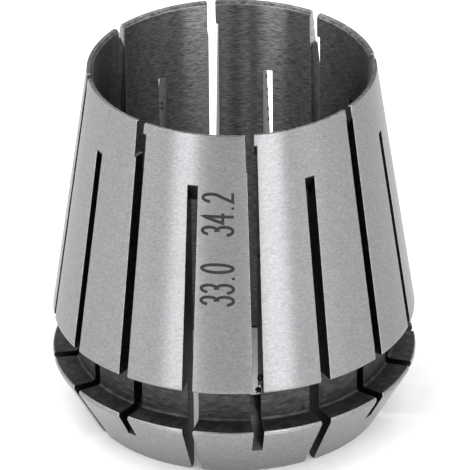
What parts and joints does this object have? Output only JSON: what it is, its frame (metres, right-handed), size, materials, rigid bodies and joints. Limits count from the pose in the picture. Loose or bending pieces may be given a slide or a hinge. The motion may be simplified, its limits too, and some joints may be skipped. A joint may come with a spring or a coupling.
{
  "type": "er collet",
  "caption": "Slotted spring collet: a long taper, an extraction groove and a conical nose round a through bore that closes on a shank.",
  "frame": {"origin": "centre of the nose face, which is the end that the collet stands on", "axes": "+Z along the bore, from the nose face to the small end of the main taper; -Y through the middle of one slot that is open at the rim"},
  "size_m": [0.033, 0.033, 0.0342],
  "materials": {
    "ground_steel": "satin ground spring steel, with a darker unground groove, slots and bore"
  },
  "bodies": {
    "root": {"collet": "ground_steel"}
  },
  "joints": []
}
